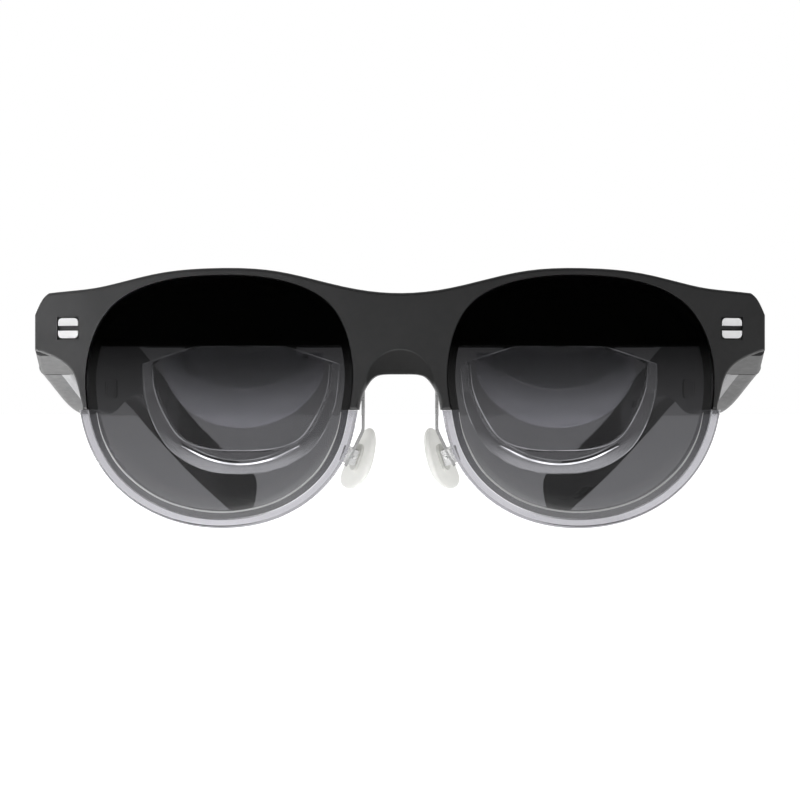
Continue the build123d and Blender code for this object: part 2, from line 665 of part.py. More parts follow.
button_body = mirrored(temple_solid(key_face(0.6, KEY_FLOOR, BUTTON[0] + 0.2, BUTTON[1] - 0.2), 1.3, 3.7))
with BuildPart() as mode_button:
    add(button_body)
write(mode_button.part, "mode_button")

cover_body = temple_solid(shell_face, SHELL_T + GAP, TEMPLE_T)
grille_seat = temple_solid(slot_face(10.0, 4.4, 53.0, 2.6, 1.4), SHELL_T - 1, TEMPLE_T + 1)
cover_screws = [(31.0, 5.0), (33.0, 17.2), (94.6, -1.0)]
cover_holes = [
    on_temple(y, z, TEMPLE_T) * Rot(0, 90, 0) * Cylinder(SCREW_R + GAP, 12) for y, z in cover_screws
]
with BuildPart() as temple_inner:
    add(cover_body)
    fillet(long_edges(temple_inner, False), 0.9)
    add(hinge_room, mode=Mode.SUBTRACT)
    add(grille_seat, mode=Mode.SUBTRACT)
    for hole in cover_holes:
        add(hole, mode=Mode.SUBTRACT)
write_pair(temple_inner.part, "temple_inner")

# --- tips, and the charging port in the underside of the wearer's left tip -----------------------------
tip_body = temple_solid(temple_face(0, TIP_START + GAP, 160), 0.15, TEMPLE_T - 0.15)
with BuildPart() as temple_tip:
    add(tip_body)
    fillet(temple_tip.edges().filter_by(lambda edge: edge.length > 40), 1.5)
write(mirrored(temple_tip.part), "temple_tip_right")

PORT_AT = (134.0, -25.3)  # depth and height of the port in the underside of the tip
PORT_FALL = 0.49  # fall of the underside there for each unit of depth
port_lean = asin((PORT_AT[0] - TEMPLE_CENTRE[1]) / TEMPLE_R)
PORT_ALONG = Vector(-sin(port_lean), cos(port_lean), -PORT_FALL).normalized()
PORT_SIDE = Vector(cos(port_lean), sin(port_lean), 0)
port_x = TEMPLE_CENTRE[0] + (TEMPLE_R - TEMPLE_T / 2) * cos(port_lean)
PORT_PLANE = Plane(origin=place(port_x, *PORT_AT), x_dir=PORT_ALONG, z_dir=PORT_ALONG.cross(PORT_SIDE))
with BuildPart() as port_seat:
    with BuildSketch(PORT_PLANE.offset(-7)):
        SlotOverall(8.9, 3.1)
    extrude(amount=12)
with BuildPart() as tip_with_port:
    add(temple_tip.part)
    add(port_seat.part, mode=Mode.SUBTRACT)
write(tip_with_port.part, "temple_tip_left")

with BuildPart() as charging_port:
    with BuildSketch(PORT_PLANE.offset(-6.9)):
        SlotOverall(8.8, 3.0)
    extrude(amount=6.4)
    with BuildSketch(PORT_PLANE.offset(-6.2)):
        SlotOverall(8.3, 2.5)
    extrude(amount=8, mode=Mode.SUBTRACT)
    with BuildSketch(PORT_PLANE.offset(-6.9)):
        Rectangle(6.6, 0.7)
    extrude(amount=5.6)
write(charging_port.part, "charging_port")

# --- speakers, grilles and boards inside the temples --------------------------------------------------
grille_body = temple_solid(slot_face(9.9, 4.3, 53.0, 2.6, 1.35), SHELL_T + 0.6, TEMPLE_T - 0.3)
grille_slots = [
    temple_solid(slot_face(0.45, 3.2, 49.8 + 1.6 * i, 2.6, 0.22), SHELL_T - 1, TEMPLE_T + 1)
    for i in range(5)
]
with BuildPart() as speaker_grille:
    add(grille_body)
    for slot in grille_slots:
        add(slot, mode=Mode.SUBTRACT)
write_pair(speaker_grille.part, "speaker_grille")

speaker_body = temple_solid(slot_face(13.0, 6.4, 53.0, 2.8, 1.2), WALL + 0.1, SHELL_T - 0.1)
with BuildPart() as speaker:
    add(speaker_body)
write_pair(speaker.part, "speaker")

circuit_body = temple_solid(slot_face(30.0, 5.0, 56.0, 10.0, 0.8), 2.4, 3.1)
chip_body = temple_solid(slot_face(5.0, 3.6, 50.0, 10.0, 0.3), 3.1, 3.9)
with BuildPart() as temple_board:
    add(circuit_body)
    add(chip_body)
write_pair(temple_board.part, "temple_board")

# --- screws in each temple: two through the hinge leaf and three in the inner cover -------------------
leaf_screw = Rot(0, -90, 0) * screw(1.1)
cover_screw = Rot(0, -90, 0) * screw(2.2)
with BuildPart() as temple_screws:
    for y in (27.2, 31.2):
        add(Pos(place(71.15, y, 12.5)) * leaf_screw)
    for y, z in cover_screws:
        add(on_temple(y, z, TEMPLE_T + 0.02) * cover_screw)
write_pair(temple_screws.part, "temple_screws")
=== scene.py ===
"""Smart glasses: materials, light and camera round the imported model."""

import math

import bmesh
import bpy
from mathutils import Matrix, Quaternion, Vector


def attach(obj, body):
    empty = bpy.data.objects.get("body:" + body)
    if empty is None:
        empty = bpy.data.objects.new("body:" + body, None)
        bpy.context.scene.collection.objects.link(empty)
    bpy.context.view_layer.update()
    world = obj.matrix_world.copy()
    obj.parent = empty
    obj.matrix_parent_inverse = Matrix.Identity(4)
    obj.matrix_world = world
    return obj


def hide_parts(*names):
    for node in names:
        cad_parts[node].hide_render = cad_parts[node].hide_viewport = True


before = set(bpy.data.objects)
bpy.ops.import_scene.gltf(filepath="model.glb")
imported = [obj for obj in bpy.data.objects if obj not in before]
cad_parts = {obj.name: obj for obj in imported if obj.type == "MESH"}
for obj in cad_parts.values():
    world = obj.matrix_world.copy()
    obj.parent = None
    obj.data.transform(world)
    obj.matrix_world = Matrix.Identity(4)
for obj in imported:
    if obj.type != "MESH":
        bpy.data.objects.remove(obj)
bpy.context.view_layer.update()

# Places shared by the materials, the pieces and the camera.
EYE_HEIGHT = 0.03121  # the lens centreline above the floor
FRONT = -0.075  # the front of the bridge
CAMERA_GAP = 0.330  # from the front of the bridge to the camera
PUPIL = 32.3  # mm from the middle to each optical axis
EYE_X = PUPIL / 1000

# How finely each kind of unevenness repeats, in periods per metre.
SPARK_GRAIN = 9000
GLOSS_PATCHES = 700
COLOUR_CLOUDS = 120

WHITE = (1, 1, 1, 1)

scene = bpy.context.scene
scene.view_settings.view_transform = "Standard"
scene.view_settings.look = "None"


# --- material tools -----------------------------------------------------------------------------
class Nodes:
    """The node tree of a material or a world, with a few short cuts."""

    def __init__(self, owner, output):
        owner.use_nodes = True
        self.tree = owner.node_tree
        self.tree.nodes.clear()
        self.out = self.node(output)

    def node(self, kind, **values):
        n = self.tree.nodes.new(kind)
        for key, value in values.items():
            if key in n.inputs:
                n.inputs[key].default_value = value
            else:
                setattr(n, key, value)
        return n

    def link(self, a, b):
        self.tree.links.new(a, b)

    def surface(self, shader):
        self.link(shader, self.out.inputs["Surface"])

    def mixed(self, share, first, second):
        """The first shader where the share is 0 and the second where it is 1."""
        mix = self.node("ShaderNodeMixShader")
        if isinstance(share, float):
            mix.inputs[0].default_value = share
        else:
            self.link(share, mix.inputs[0])
        self.link(first, mix.inputs[1])
        self.link(second, mix.inputs[2])
        return mix.outputs[0]

    def added(self, first, second):
        both = self.node("ShaderNodeAddShader")
        self.link(first, both.inputs[0])
        self.link(second, both.inputs[1])
        return both.outputs[0]

    def math(self, operation, *values):
        n = self.node("ShaderNodeMath", operation=operation)
        for socket, value in zip(n.inputs, values):
            if isinstance(value, (int, float)):
                socket.default_value = value
            else:
                self.link(value, socket)
        return n.outputs[0]

    def remap(self, value, low, high, start=0.0, end=1.0):
        """start at the low value and end at the high one, level outside them."""
        n = self.node("ShaderNodeMapRange")
        n.inputs["From Min"].default_value = low
        n.inputs["From Max"].default_value = high
        n.inputs["To Min"].default_value = start
        n.inputs["To Max"].default_value = end
        self.link(value, n.inputs["Value"])
        return n.outputs[0]

    def split(self, vector):
        """The X, Y and Z of a vector."""
        n = self.node("ShaderNodeSeparateXYZ")
        self.link(vector, n.inputs[0])
        return n.outputs


class Mat(Nodes):
    """A node material."""

    def __init__(self, name):
        self.m = bpy.data.materials.new(name)
        super().__init__(self.m, "ShaderNodeOutputMaterial")

    def principled(self, color, rough, **values):
        shader = self.node("ShaderNodeBsdfPrincipled")
        shader.inputs["Base Color"].default_value = (*color, 1)
        shader.inputs["Roughness"].default_value = rough
        for key, value in values.items():
            shader.inputs[key.replace("_", " ")].default_value = value
        self.surface(shader.outputs[0])
        return shader

    def glossy(self, color, rough):
        return self.node("ShaderNodeBsdfGlossy", Color=color, Roughness=rough).outputs[0]

    def transparent(self, color=None):
        shader = self.node("ShaderNodeBsdfTransparent")
        if color:
            self.link(color, shader.inputs["Color"])
        return shader.outputs[0]

    def ramp(self, value, stops):
        r = self.node("ShaderNodeValToRGB")
        while len(r.color_ramp.elements) < len(stops):
            r.color_ramp.elements.new(0.5)
        for element, (at, color) in zip(r.color_ramp.elements, stops):
            element.position = at
            element.color = (*color, 1)
        self.link(value, r.inputs[0])
        return r.outputs[0]

    def graph(self, value, points):
        """A plain number that follows straight lines through the points."""
        return self.ramp(value, [(at, (level,) * 3) for at, level in points])

    def noise(self, scale, detail):
        place = self.node("ShaderNodeTexCoord")
        mapping = self.node("ShaderNodeMapping")
        sizes = scale if isinstance(scale, tuple) else (scale,) * 3
        mapping.inputs["Scale"].default_value = sizes
        self.link(place.outputs["Object"], mapping.inputs["Vector"])
        n = self.node("ShaderNodeTexNoise", Scale=1.0, Detail=detail, Roughness=0.55)
        self.link(mapping.outputs[0], n.inputs["Vector"])
        return n.outputs["Fac"]

    def uneven(self, scale, detail, low, high):
        """A number that wanders between two levels over the surface."""
        return self.graph(self.noise(scale, detail), [(0.3, low), (0.7, high)])

    def bump(self, shader, height, strength, distance):
        b = self.node("ShaderNodeBump", Strength=strength, Distance=distance)
        self.link(height, b.inputs["Height"])
        self.link(b.outputs[0], shader.inputs["Normal"])

    def axes(self):
        """The place of a point on the object, axis by axis."""
        return self.split(self.node("ShaderNodeTexCoord").outputs["Object"])

    def front_view(self):
        """The place of a point as seen from the front, with both eyes folded onto one."""
        axes = self.axes()
        flat = self.node("ShaderNodeCombineXYZ")
        self.link(self.math("ABSOLUTE", axes["X"]), flat.inputs["X"])
        self.link(axes["Z"], flat.inputs["Z"])
        return flat.outputs[0]

    def reach(self, x, z):
        """How far a point lies from one place, as seen from the front."""
        far = self.node("ShaderNodeVectorMath", operation="DISTANCE")
        self.link(self.front_view(), far.inputs[0])
        far.inputs[1].default_value = (x, 0.0, z)
        return far.outputs["Value"]

    def level(self, foot, crown):
        """0 at one height and 1 at another."""
        return self.remap(self.axes()["Z"], foot, crown)

    def bowed_level(self, foot, crown, middle, bow):
        """As level, along arcs that rise to both sides of the middle of each eye."""
        axes = self.axes()
        offset = self.math("SUBTRACT", self.math("ABSOLUTE", axes["X"]), middle)
        square = self.math("MULTIPLY", offset, offset)
        return self.remap(self.math("MULTIPLY_ADD", square, -bow, axes["Z"]), foot, crown)

    def facing(self, axis, low, high, start=0.0, end=1.0):
        """A number set by how far a surface faces along one axis."""
        normal = self.split(self.node("ShaderNodeNewGeometry").outputs["True Normal"])
        return self.remap(normal[axis], low, high, start, end)

    def faces_back(self):
        """1 where a surface looks back along +Y, 0 where it looks forwards."""
        return self.facing("Y", -0.15, 0.05)


def grey(v):
    return (v, v, v * 1.03)


def moulded(name, dark, light, rough, bump=0.35, **values):
    """Moulded plastic: a fine spark-eroded grain, slight mottling and uneven gloss."""
    mat = Mat(name)
    shader = mat.principled(dark, rough, **values)
    cloud = mat.ramp(mat.noise(COLOUR_CLOUDS, 3), [(0.3, dark), (0.7, light)])
    mat.link(cloud, shader.inputs["Base Color"])
    mat.link(mat.uneven(GLOSS_PATCHES, 3, rough - 0.04, rough + 0.05), shader.inputs["Roughness"])
    mat.bump(shader, mat.noise(SPARK_GRAIN, 2), bump, 0.00004)
    return mat.m


def metal(name, color, rough, brush=(400, 400, 9000), groove=0.15):
    """Brushed metal: fine lines that change its gloss and cut its surface a little."""
    mat = Mat(name)
    shader = mat.principled(color, rough, Metallic=1.0)
    lines = mat.noise(brush, 3)
    gloss = mat.graph(lines, [(0.3, rough - 0.06), (0.7, rough + 0.08)])
    mat.link(gloss, shader.inputs["Roughness"])
    mat.bump(shader, lines, groove, 0.00002)
    return mat.m


def clear_parts(name, color, rough, ior):
    """Clear moulded plastic or glass, faintly uneven in its polish."""
    mat = Mat(name)
    shader = mat.principled(color, rough, Transmission_Weight=1.0, IOR=ior)
    mat.link(mat.uneven(900, 2, rough, rough + 0.03), shader.inputs["Roughness"])
    mat.bump(shader, mat.noise(260, 2), 0.05, 0.00005)
    return mat, shader


BODY_DENSITY = 570.0  # per metre: how fast a body colour dims a path


def clear(name, color, rough, ior, body=None):
    """A clear part; a body colour dims long paths."""
    mat, _ = clear_parts(name, color, rough, ior)
    if body:
        depth = mat.node("ShaderNodeVolumeAbsorption", Color=(*body, 1), Density=BODY_DENSITY)
        mat.link(depth.outputs[0], mat.out.inputs["Volume"])
    return mat.m


SLOT_CENTRE = EYE_HEIGHT + 0.0080  # of the circle that the slot of the scoop follows
SLOT_R = (0.0208, 0.0214)  # from its foot to where the lip is fully lit
LIP_FOOT = EYE_HEIGHT - 0.0145
LIP_TOP = EYE_HEIGHT - 0.0030
LIP_POWER = 1.6  # the glow of the lip where it is brightest


def scoop_clear(name, color, rough, ior):
    """The clear optic, with a painted glow in the thick lip below its slot."""
    mat, shader = clear_parts(name, color, rough, ior)
    lip = mat.remap(mat.reach(EYE_X, SLOT_CENTRE), *SLOT_R)
    height = mat.level(LIP_FOOT, LIP_TOP)
    low = mat.graph(height, [(0.0, 1.0), (0.22, 0.85), (0.42, 0.35), (0.75, 0.0)])
    wave = mat.graph(mat.noise(220, 2), [(0.35, 0.9), (0.65, 1.0)])
    forwards = mat.math("MULTIPLY_ADD", mat.faces_back(), -LIP_POWER, LIP_POWER)
    power = mat.math("MULTIPLY", mat.math("MULTIPLY", lip, low), forwards)
    # painted glow: the lip gives off light of its own, on faces that look forwards
    shader.inputs["Emission Color"].default_value = WHITE
    mat.link(mat.math("MULTIPLY", power, wave), shader.inputs["Emission Strength"])
    return mat.m


def tinted(name, stops, foot, crown):
    """A sun lens: each face lets part of the light through, less towards the top.

    Its coating reflects a little, softly, less towards the top. A faint band of painted glow lies
    across the middle.
    """
    mat = Mat(name)
    height = mat.level(foot, crown)
    coat = mat.graph(height, [(0.3, 0.018), (0.72, 0.0008)])
    glass = mat.mixed(coat, mat.transparent(mat.ramp(height, stops)), mat.glossy(WHITE, 0.45))
    # painted glow: the lens gives off a faint light of its own in a band across its middle
    painted_band_levels = [(0.33, 0.0), (0.42, 0.005), (0.49, 0.0085), (0.6, 0.006), (0.67, 0.002), (0.73, 0.0)]
    painted_glow = mat.node("ShaderNodeEmission", Strength=1.0)
    mat.link(mat.graph(height, painted_band_levels), painted_glow.inputs["Color"])
    mat.surface(mat.added(mat.added(glass, painted_glow.outputs[0]), painted_rim_glow(mat, height)))
    return mat.m


LENS_MIDDLE = (0.0360, EYE_HEIGHT + 0.0005)  # of an ellipse close to the edge of the lens
LENS_HALF = (0.0263, 0.0239)
# strength of the painted glow round the edge of the lens
EDGE_POWER = 0.065


def painted_rim_glow(mat, height):
    """Painted light: a glow round the edge of the lens where the clear rim lies, strongest at its
    foot.
    """
    oval = mat.node("ShaderNodeMapping")
    oval.inputs["Location"].default_value = (
        -LENS_MIDDLE[0] / LENS_HALF[0], 0.0, -LENS_MIDDLE[1] / LENS_HALF[1]
    )
    oval.inputs["Scale"].default_value = (1 / LENS_HALF[0], 1.0, 1 / LENS_HALF[1])
    mat.link(mat.front_view(), oval.inputs["Vector"])
    size = mat.node("ShaderNodeVectorMath", operation="LENGTH")
    mat.link(oval.outputs[0], size.inputs[0])
    rim = mat.graph(size.outputs["Value"], [(0.80, 0.0), (0.90, 0.25), (0.945, 1.0)])
    low = mat.graph(height, [(0.0, EDGE_POWER), (0.08, EDGE_POWER), (0.38, 0.0)])
    light = mat.node("ShaderNodeEmission", Color=WHITE)
    mat.link(mat.math("MULTIPLY", rim, low), light.inputs["Strength"])
    return light.outputs[0]


def silicone(name, dark, light, glow):
    """Soft frosted silicone: light comes through it as much as off it, and a painted glow brightens
    it.
    """
    mat = Mat(name)
    skin = mat.principled(dark, 0.45, Emission_Color=(1, 1, 0.97, 1), Emission_Strength=glow)
    shade = mat.ramp(mat.noise(500, 3), [(0.3, dark), (0.7, light)])
    mat.link(shade, skin.inputs["Base Color"])
    mat.bump(skin, mat.noise(5000, 2), 0.2, 0.00003)
    through = mat.node("ShaderNodeBsdfTranslucent")
    mat.link(shade, through.inputs["Color"])
    mat.surface(mat.mixed(0.45, skin.outputs[0], through.outputs[0]))
    return mat.m


DISH_CENTRE = EYE_HEIGHT + 0.0032  # of the round dish in the bridge
DISH_EDGE = (0.0064, 0.0068)  # from dish to brow
# painted shade: the dish in the bridge is coloured darker and made duller than the brow
DISH_PAINTED_SHADE = (0.007, 0.007, 0.007, 1)
# painted sheen on the underside of the brow
UNDERSIDE_PAINTED_SHEEN = 0.58  # added to the specular level of faces that look down


def brow_black(name, dark, light, rough):
    """Fine matte moulding, glossier underneath through a painted sheen, with a darker, duller dish
    in the bridge as painted shade.
    """
    mat = Mat(name)
    shader = mat.principled(dark, rough)
    mat.bump(shader, mat.noise(SPARK_GRAIN, 2), 0.35, 0.00004)
    mat.link(mat.uneven(GLOSS_PATCHES, 3, rough - 0.04, rough + 0.05), shader.inputs["Roughness"])
    outside = mat.remap(mat.reach(0.0, DISH_CENTRE), *DISH_EDGE)
    paint = mat.node("ShaderNodeMix", data_type="RGBA")
    mat.link(outside, paint.inputs["Factor"])
    paint.inputs["A"].default_value = DISH_PAINTED_SHADE
    mat.link(mat.ramp(mat.noise(COLOUR_CLOUDS, 3), [(0.3, dark), (0.7, light)]), paint.inputs["B"])
    mat.link(paint.outputs["Result"], shader.inputs["Base Color"])
    # painted sheen: faces that look down get a higher specular level, which strengthens their real
    # reflection of the floor
    painted_sheen_below = mat.facing("Z", -0.12, -0.4, 0.0, UNDERSIDE_PAINTED_SHEEN)
    # painted shade in the dish: less gloss there than on the rest of the brow
    sheen = mat.graph(outside, [(0.0, 0.22), (1.0, 0.42)])
    mat.link(mat.math("MULTIPLY_ADD", painted_sheen_below, outside, sheen), shader.inputs["Specular IOR Level"])
    return mat.m


GLOW_BOW = 27.0  # per metre: how fast the arcs of the glow rise to both sides


def half_mirror(name, foot, crown, share):
    """A half mirror: clear at its foot, dim at its top, with a soft painted glow in arcs."""
    mat = Mat(name)
    height = mat.level(foot, crown)
    tint = mat.ramp(height, [(0.0, grey(0.97)), (0.35, grey(0.86)), (0.8, grey(0.55))])
    arcs = mat.bowed_level(foot, crown, EYE_X, GLOW_BOW)
    painted_arc_levels = [(0.0, 0.60), (0.2, 0.68), (0.46, 0.45), (0.5, 0.33), (0.58, 0.25), (0.9, 0.25)]
    painted_glow = mat.ramp(arcs, [(at, grey(level)) for at, level in painted_arc_levels])
    # painted glow: emission in arcs on the faces that look forwards
    glow = mat.node("ShaderNodeEmission")
    mat.link(painted_glow, glow.inputs["Color"])
    mat.link(mat.graph(mat.faces_back(), [(0.0, 1.0), (1.0, 0.0)]), glow.inputs["Strength"])
    tint_with_painted_light = mat.added(mat.transparent(tint), glow.outputs[0])
    ripple = mat.uneven(60, 2, share - 0.02, share + 0.02)
    mat.surface(mat.mixed(ripple, tint_with_painted_light, mat.glossy((0.9, 0.9, 0.9, 1), 0.08)))
    return mat.m


def glint(name, low, high):
    """A painted glint: a bead that glows forwards, uneven along its length."""
    mat = Mat(name)
    glow = mat.node("ShaderNodeEmission", Color=WHITE)
    mat.link(mat.graph(mat.noise(170, 2), [(0.35, low), (0.65, high)]), glow.inputs["Strength"])
    mat.surface(mat.mixed(mat.faces_back(), glow.outputs[0], mat.transparent()))
    return mat.m


LENS_FOOT, LENS_CROWN = 0.0075, 0.0555  # heights between which the tint changes
LENS_TINT = [
    (0.0, grey(0.3)), (0.4, grey(0.285)), (0.5, grey(0.24)), (0.6, grey(0.19)), (0.75, grey(0.14)),
]
SPLITTER_FOOT, SPLITTER_CROWN = EYE_HEIGHT - 0.0055, EYE_HEIGHT + 0.0097

# A node takes the material of the longest key that its name starts with.
MATERIALS = {
    "front_cover": brow_black("cover_black", grey(0.008), grey(0.011), 0.55),
    "inner_frame": moulded("inner_black", grey(0.004), grey(0.006), 0.7),
    "optics_housing": moulded("housing_black", grey(0.004), grey(0.006), 0.7),
    "temple_outer": moulded("temple_black", grey(0.016), grey(0.022), 0.42),
    "temple_inner": moulded("temple_grey", grey(0.15), grey(0.18), 0.34),
    "temple_tip": moulded("tip_soft", grey(0.014), grey(0.02), 0.55, bump=0.5),
    "lower_rim": clear("clear_rim", (0.93, 0.93, 0.94), 0.04, 1.49, (0.63, 0.625, 0.65)),
    "combiner": scoop_clear("clear_scoop", (0.88, 0.88, 0.89), 0.02, 1.49),
    "display_lens": clear("optic_glass", (0.93, 0.94, 0.94), 0.01, 1.5),
    "lens": tinted("dark_lens", LENS_TINT, LENS_FOOT, LENS_CROWN),
    "beam_splitter": half_mirror("splitter_coat", SPLITTER_FOOT, SPLITTER_CROWN, 0.08),
    "accent_plates": metal("bright_bar", (0.97, 0.97, 0.975), 0.5, (600, 600, 6000), 0.0),
    "nose_bracket": metal("bracket_metal", (0.6, 0.6, 0.61), 0.32),
    "pad_arm": metal("arm_metal", (0.42, 0.42, 0.42), 0.28),
    "pad_screws": metal("pin_metal", (0.5, 0.5, 0.5), 0.25),
    "hinge": metal("hinge_metal", (0.5, 0.5, 0.51), 0.35),
    "frame_screws": metal("screw_metal", (0.55, 0.55, 0.56), 0.3),
    "temple_screws": metal("screw_dark", (0.25, 0.25, 0.26), 0.35),
    "charging_port": metal("socket_metal", (0.6, 0.6, 0.6), 0.3),
    "main_board": moulded("board_mask", (0.01, 0.05, 0.02), (0.015, 0.07, 0.03), 0.3),
    "temple_board": moulded("board_mask_side", (0.01, 0.05, 0.02), (0.015, 0.07, 0.03), 0.3),
    "microdisplay": moulded("display_dark", grey(0.01), grey(0.015), 0.25),
    "wear_sensor": moulded("sensor_dark", grey(0.008), grey(0.012), 0.12),
    # painted light: the grille is lighter than the temple around it, to cancel the shade in its
    # slots
    "speaker_grille": moulded("grille_grey_painted_light", grey(0.19), grey(0.22), 0.4),
    "speaker": moulded("speaker_dark", grey(0.02), grey(0.03), 0.5),
    "brightness_rocker": moulded("key_black", grey(0.014), grey(0.02), 0.3),
    "mode_button": moulded("key_black_small", grey(0.014), grey(0.02), 0.3),
    # painted glow: the pads and their cores give off light of their own
    "nose_pad": silicone("pad_silicone", (0.60, 0.60, 0.585), (0.64, 0.64, 0.625), 0.46),
    "pad_core": silicone("pad_core_plastic", (0.62, 0.62, 0.60), (0.66, 0.66, 0.64), 0.2),
}


def material_for(node):
    best = max((key for key in MATERIALS if node.startswith(key)), key=len)
    return MATERIALS[best]


for name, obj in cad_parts.items():
    for slot in obj.material_slots:
        slot.material = material_for(name)

# --- nose pads: soft silicone buttons on the pad cores ------------------------------------------
PAD_CENTRE = Vector((0.0085, FRONT + 0.012, EYE_HEIGHT - 0.0116))
PAD_LONG = Vector((4.1, 1.5, -11.5)).normalized()
PAD_FACING = Vector((-0.88, 0.47, 0.0))
PAD_NORMAL = (PAD_FACING - PAD_LONG * PAD_FACING.dot(PAD_LONG)).normalized()
PAD_ACROSS = PAD_NORMAL.cross(PAD_LONG)
PAD_SIGN = -1 if PAD_LONG.cross(PAD_NORMAL).y < 0 else 1  # the way that turns the face towards +Y
PAD_TWIST = math.radians(14)  # the foot of the pad faces further back
PAD_BEND = 0.0010  # and stands further out
PAD_RINGS = [  # share of the outline, height above the core
    (0.50, 0.00010), (0.86, 0.00008), (0.98, 0.00028), (1.00, 0.00085),
    (0.95, 0.00150), (0.78, 0.00205), (0.45, 0.00235),
]
PAD_STEPS = 28
PAD_HALF_LENGTH = 0.0066
PAD_HALF_WIDTH = 0.0038
PAD_SWELL = 0.0006  # how much wider it is at its foot and narrower at its head
PAD_FLATTENING = 0.86
PAD_SAG = 0.00025  # how far both ends of the crown fall away
PAD_CROWN = 0.001  # the rings above this height belong to the crown
PAD_DOME = 0.00005  # the middle of the crown above its last ring


def pad_outline(turn):
    """A soft egg shape, wider towards the bottom, with its long sides a little flattened."""
    along = math.cos(turn)
    across = math.sin(turn)
    half = PAD_HALF_WIDTH + PAD_SWELL * along
    return PAD_HALF_LENGTH * along, half * math.copysign(abs(across) ** PAD_FLATTENING, across)


def nose_pad(side):
    """A crowned pad whose back sits on the pad core."""
    mesh = bmesh.new()
    rings = []
    for share, lift in PAD_RINGS:
        ring = []
        for i in range(PAD_STEPS):
            along, across = pad_outline(math.tau * i / PAD_STEPS)
            run = along * share / PAD_HALF_LENGTH
            sag = -PAD_SAG * run**2 if lift > PAD_CROWN else 0.0
            turned = Quaternion(PAD_LONG, PAD_SIGN * PAD_TWIST * max(0.0, run))
            spot = PAD_CENTRE + PAD_LONG * along * share + turned @ PAD_ACROSS * across * share
            spot += turned @ PAD_NORMAL * (lift + sag)
            spot.x += PAD_BEND * max(0.0, run) ** 2
            ring.append(mesh.verts.new((spot.x * side, spot.y, spot.z)))
        rings.append(ring)
    for low, high in zip(rings, rings[1:]):
        for i in range(PAD_STEPS):
            j = (i + 1) % PAD_STEPS
            mesh.faces.new((low[i], low[j], high[j], high[i]))
    for ring, lift in ((rings[0], PAD_RINGS[0][1]), (rings[-1], PAD_RINGS[-1][1] + PAD_DOME)):
        spot = PAD_CENTRE + PAD_NORMAL * lift
        hub = mesh.verts.new((spot.x * side, spot.y, spot.z))
        for i in range(PAD_STEPS):
            mesh.faces.new((ring[i], ring[(i + 1) % PAD_STEPS], hub))
    bmesh.ops.recalc_face_normals(mesh, faces=mesh.faces)
    for face in mesh.faces:
        face.smooth = True
    name = "soft_pad_left" if side > 0 else "soft_pad_right"
    data = bpy.data.meshes.new(name)
    mesh.to_mesh(data)
    mesh.free()
    pad = bpy.data.objects.new(name, data)
    scene.collection.objects.link(pad)
    smooth = pad.modifiers.new("smooth", "SUBSURF")
    smooth.levels = 2
    smooth.render_levels = 2
    data.materials.append(MATERIALS["nose_pad"])
    return pad


for side, word in ((1, "left"), (-1, "right")):
    pad = nose_pad(side)
    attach(pad, f"pad_body_{word}")
    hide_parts(f"nose_pad_{word}")

# --- painted glints along the edges of the clear optics and of the clear rims -------------------
# All in mm: X and the height above the lens centreline, and for the scoop X from its optical axis.
LENS_EDGE = [
    (9.7, 0.6), (10.0, 10.5), (13.8, 18.5), (22.3, 23.0), (35.4, 24.4), (48.5, 22.9),
    (57.1, 18.4), (61.6, 10.2), (62.3, 0.6), (60.2, -8.3), (55.2, -15.7), (46.6, -21.3),
    (35.4, -23.4), (24.4, -21.4), (16.0, -15.7), (11.4, -7.9),
]
WRAP_R = 300.0  # the curve of the front, seen from above
SCOOP_R = 55.0  # the radius of the scoop's sphere
SCOOP_CENTRE = 65.2  # depth of the centre of the scoop's sphere
SEAM = -1.95  # the brow ends and the clear rim starts here
SCOOP_INNER = [(0, -10.2), (6.8, -9.8), (12.0, -7.8), (15.4, -3.0), (17.5, 2.2), (18.0, 7.2)]
SCOOP_OUTER = [(0, -14.9), (6.4, -14.3), (11.6, -12.1), (15.8, -8.2), (19.0, -1.2), (20.0, 7.3)]
SCOOP_BROW = [(20.0, 7.3), (14.8, 9.0), (9.4, 10.7)]
SLOT_TOP = [(-11.6, -8.55), (-6.0, -11.2), (0, -12.2), (6.0, -11.2), (11.6, -8.55)]
SLOT_FOOT = [(-11.9, -9.3), (-6.1, -12.0), (0, -13.0), (6.1, -12.0), (11.9, -9.3)]
OPTIC_ARC = [(-12.0, 5.9), (-6.5, 3.1), (0, 2.0), (6.5, 3.1), (12.0, 5.9)]
OPTIC_DEPTH = 14.5  # behind the bridge, just in front of the face of the display lens
RIM_LINE = 1.35  # how far inside the edge of the lens the bead of the rim runs
RIM_LIFT = 0.56  # and how far behind the curve of the front
STEPS = 8  # short straight runs between two points of a line


def spot(x, depth, z):
    """A place in metres from X, depth behind the bridge and height above the centreline."""
    return Vector((x / 1000, FRONT + depth / 1000, EYE_HEIGHT + z / 1000))


def on_scoop(x, z, lift=0.08):
    """The depth of a bead just in front of the scoop."""
    return SCOOP_CENTRE - math.sqrt(SCOOP_R**2 - x * x - z * z) - lift


def wrapped(x):
    """The depth of the curve of the front."""
    return WRAP_R - math.sqrt(WRAP_R**2 - x * x)


